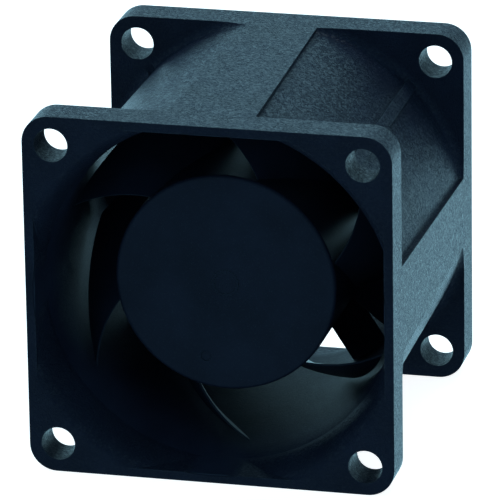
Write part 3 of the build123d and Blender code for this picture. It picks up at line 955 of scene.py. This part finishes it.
@dataclass
class Studio:
    """Pale floor, white surroundings, one soft lamp and the photograph's camera.

    Attributes:
        azimuth: the camera's angle round the fan from straight in front, in degrees.
        elevation: its angle above level, in degrees.
        roll: its lean, in degrees.
        distance: its distance from the target, in millimetres.
        focal_pixels: its focal length, in pixels of the photograph.
        target: the point it looks at, in millimetres.
        sensor: width of its sensor, in millimetres.
        image: width of the photograph, in pixels.
        near: nearest distance that it sees, in metres.
        far: furthest distance that it sees, in metres.
        floor_half: half the floor's side, in metres.
        floor_gap: how far the floor lies below the fan, in millimetres.
        floor_grey: reflectance of the floor.
        floor_glow: how white the camera sees the floor.
        lamp_from: where the lamp's light comes from.
        lamp_power: strength of the lamp.
        lamp_spread: width of the lamp, in degrees.
        back_from: depth share at which the light behind the fan starts.
        back_to: depth share at which it is full.
        front_level: light from in front.
        middle_level: light added from behind.
        right_fall: how fast that light falls to the right.
        table_gain: how much of it comes up from the table.
        least_level: least light added.
        most_level: most light added.
        light_tint: colour of the light, linear.
    """

    azimuth: float = 14.136
    elevation: float = 19.688
    roll: float = -0.8905
    distance: float = 619.04
    focal_pixels: float = 6085.06
    target: Tuple[float, float, float] = (1.5376, -7.6, 2.1516)
    sensor: float = 36.0
    image: float = 500.0
    near: float = 0.01
    far: float = 50.0
    floor_half: float = 2.5
    floor_gap: float = 0.02
    floor_grey: float = 0.8
    floor_glow: float = 0.9
    lamp_from: Tuple[float, float, float] = (0.2, 0.5, 1.0)
    lamp_power: float = 0.25
    lamp_spread: float = 20.0
    back_from: float = -0.3
    back_to: float = 0.6
    front_level: float = 0.50
    middle_level: float = 0.80
    right_fall: float = 1.35
    table_gain: float = 4.7
    least_level: float = -0.35
    most_level: float = 3.2
    light_tint: Colour = (0.42, 0.81, 1.0)

    def camera(self) -> None:
        """A long lens at the photograph's angle, with right, up and back directions as matrix columns."""
        az, el, ro = (math.radians(v) for v in (self.azimuth, self.elevation, self.roll))
        back = np.array([math.sin(az) * math.cos(el), -math.cos(az) * math.cos(el), math.sin(el)])
        right = np.array([math.cos(az), math.sin(az), 0.0])
        up = np.cross(back, right)
        right_r = math.cos(ro) * right + math.sin(ro) * up
        up_r = -math.sin(ro) * right + math.cos(ro) * up
        place = (np.array(self.target) + back * self.distance) * MM
        matrix = Matrix.Identity(4)
        for row in range(3):
            matrix[row][0], matrix[row][1], matrix[row][2] = right_r[row], up_r[row], back[row]
            matrix[row][3] = place[row]
        data = bpy.data.cameras.new("photo_camera")
        holder = bpy.data.objects.new("photo_camera", data)
        bpy.context.scene.collection.objects.link(holder)
        holder.matrix_world = matrix
        data.sensor_fit = "HORIZONTAL"
        data.sensor_width = self.sensor
        data.lens = self.focal_pixels / self.image * self.sensor
        data.clip_start = self.near
        data.clip_end = self.far
        bpy.context.scene.camera = holder

    def lamp(self) -> None:
        """One soft sun from above, to the right and a little behind."""
        data = bpy.data.lights.new("soft_lamp", "SUN")
        data.energy = self.lamp_power
        data.angle = math.radians(self.lamp_spread)
        holder = bpy.data.objects.new("soft_lamp", data)
        bpy.context.scene.collection.objects.link(holder)
        direction = -Vector(self.lamp_from).normalized()
        holder.rotation_euler = direction.to_track_quat("-Z", "Y").to_euler()

    def world(self) -> None:
        """White for the camera, and a cool tent of light: bright behind and low, dim in front."""
        world = bpy.data.worlds.new("studio")
        bpy.context.scene.world = world
        world.use_nodes = True
        graph = Graph(world.node_tree)
        shader = world.node_tree.nodes["Background"]
        parts = graph.add("SeparateXYZ", {0: graph.add("TexCoord").outputs["Generated"]})
        behind = graph.add("MapRange", {"Value": parts.outputs["Y"], "From Min": self.back_from,
                                        "From Max": self.back_to, "To Min": 0.0, "To Max": 1.0}).outputs[0]
        across = graph.math("MULTIPLY", parts.outputs["X"], -self.right_fall)
        downward = graph.math("MAXIMUM", graph.math("MULTIPLY", parts.outputs["Z"], -1.0), 0.0)
        below = graph.math("MULTIPLY", downward, self.table_gain)
        level = graph.math("ADD", graph.math("ADD", across, self.middle_level), below)
        level = graph.math("MINIMUM", graph.math("MAXIMUM", level, self.least_level), self.most_level)
        level = graph.math("ADD", graph.math("MULTIPLY", level, behind), self.front_level)
        seen = seen_straight(graph)
        colour = graph.blend(seen, (*self.light_tint, 1.0), (1.0, 1.0, 1.0, 1.0))
        strength = graph.add("Mix", data_type="FLOAT")
        world.node_tree.links.new(seen, strength.inputs[0])
        world.node_tree.links.new(level, strength.inputs[2])
        strength.inputs[3].default_value = 1.0
        world.node_tree.links.new(strength.outputs[0], shader.inputs["Strength"])
        world.node_tree.links.new(colour, shader.inputs["Color"])

    def floor(self) -> None:
        """A pale floor under the fan that keeps a soft contact shadow."""
        bottom = CAD_BOX[0][2] / MM - self.floor_gap
        half = self.floor_half / MM
        around = ((-half, -half), (half, -half), (half, half), (-half, half))
        corners = np.array([(x, y, bottom) for x, y in around])
        mesh = bpy.data.meshes.new("floor")
        mesh.from_pydata((corners * MM).tolist(), [], [(0, 1, 2, 3)])
        floor = bpy.data.objects.new("floor", mesh)
        bpy.context.scene.collection.objects.link(floor)
        material = bpy.data.materials.new("pale_floor")
        material.use_nodes = True
        tree = material.node_tree
        tree.nodes.remove(tree.nodes["Principled BSDF"])
        graph = Graph(tree)
        grey = self.floor_grey
        matt = graph.add("BsdfDiffuse", {"Color": (grey, grey, grey, 1.0)})
        seen = seen_straight(graph)
        glow = graph.add("Emission", {"Color": (1.0, 1.0, 1.0, 1.0),
                                      "Strength": graph.math("MULTIPLY", seen, self.floor_glow)})
        both = graph.add("AddShader", {0: matt.outputs[0], 1: glow.outputs[0]})
        tree.links.new(both.outputs[0], tree.nodes["Material Output"].inputs["Surface"])
        mesh.materials.append(material)
        floor.visible_diffuse = False
        floor.visible_glossy = False

    def build(self) -> None:
        """Sets up camera, lamp, world, floor and colour view."""
        self.camera()
        self.lamp()
        self.world()
        self.floor()
        bpy.context.scene.view_settings.view_transform = "Standard"


def main() -> None:
    """Builds the shared groups, the finishes, the sub-assemblies and the studio."""
    logging.basicConfig(level=logging.INFO, format="%(name)s: %(message)s")
    for name, maker in GROUP_MAKERS.items():
        GROUPS[name] = maker()
    steel = PLATED_STEEL.build()
    ground = BEARING_STEEL.build()
    brass = BRASS.build()
    nylon = INSULATOR_NYLON.build()
    parts = (
        FanFrame(FRAME_PLASTIC.build(), LABEL_FILM.build()),
        BladedRotor(IMPELLER_PLASTIC.build(), steel, FERRITE.build(), brass, ground, SPRING_STEEL.build(),
                    WASHER_NYLON.build()),
        BallBearings(ground, steel, CAGE_NYLON.build()),
        WoundStator(StackFinish().build(), nylon, ENAMELLED_WIRE.build(), brass),
        DriveBoard(BoardFinish().build(), TINNED.build(), CHIP_EPOXY.build(), CAPACITOR_CAN.build(),
                   CHIP_RESISTOR.build()),
        Studio(),
    )
    for part in parts:
        part.build()
        LOG.info("built %s", type(part).__name__)


if __name__ == "__main__":
    main()
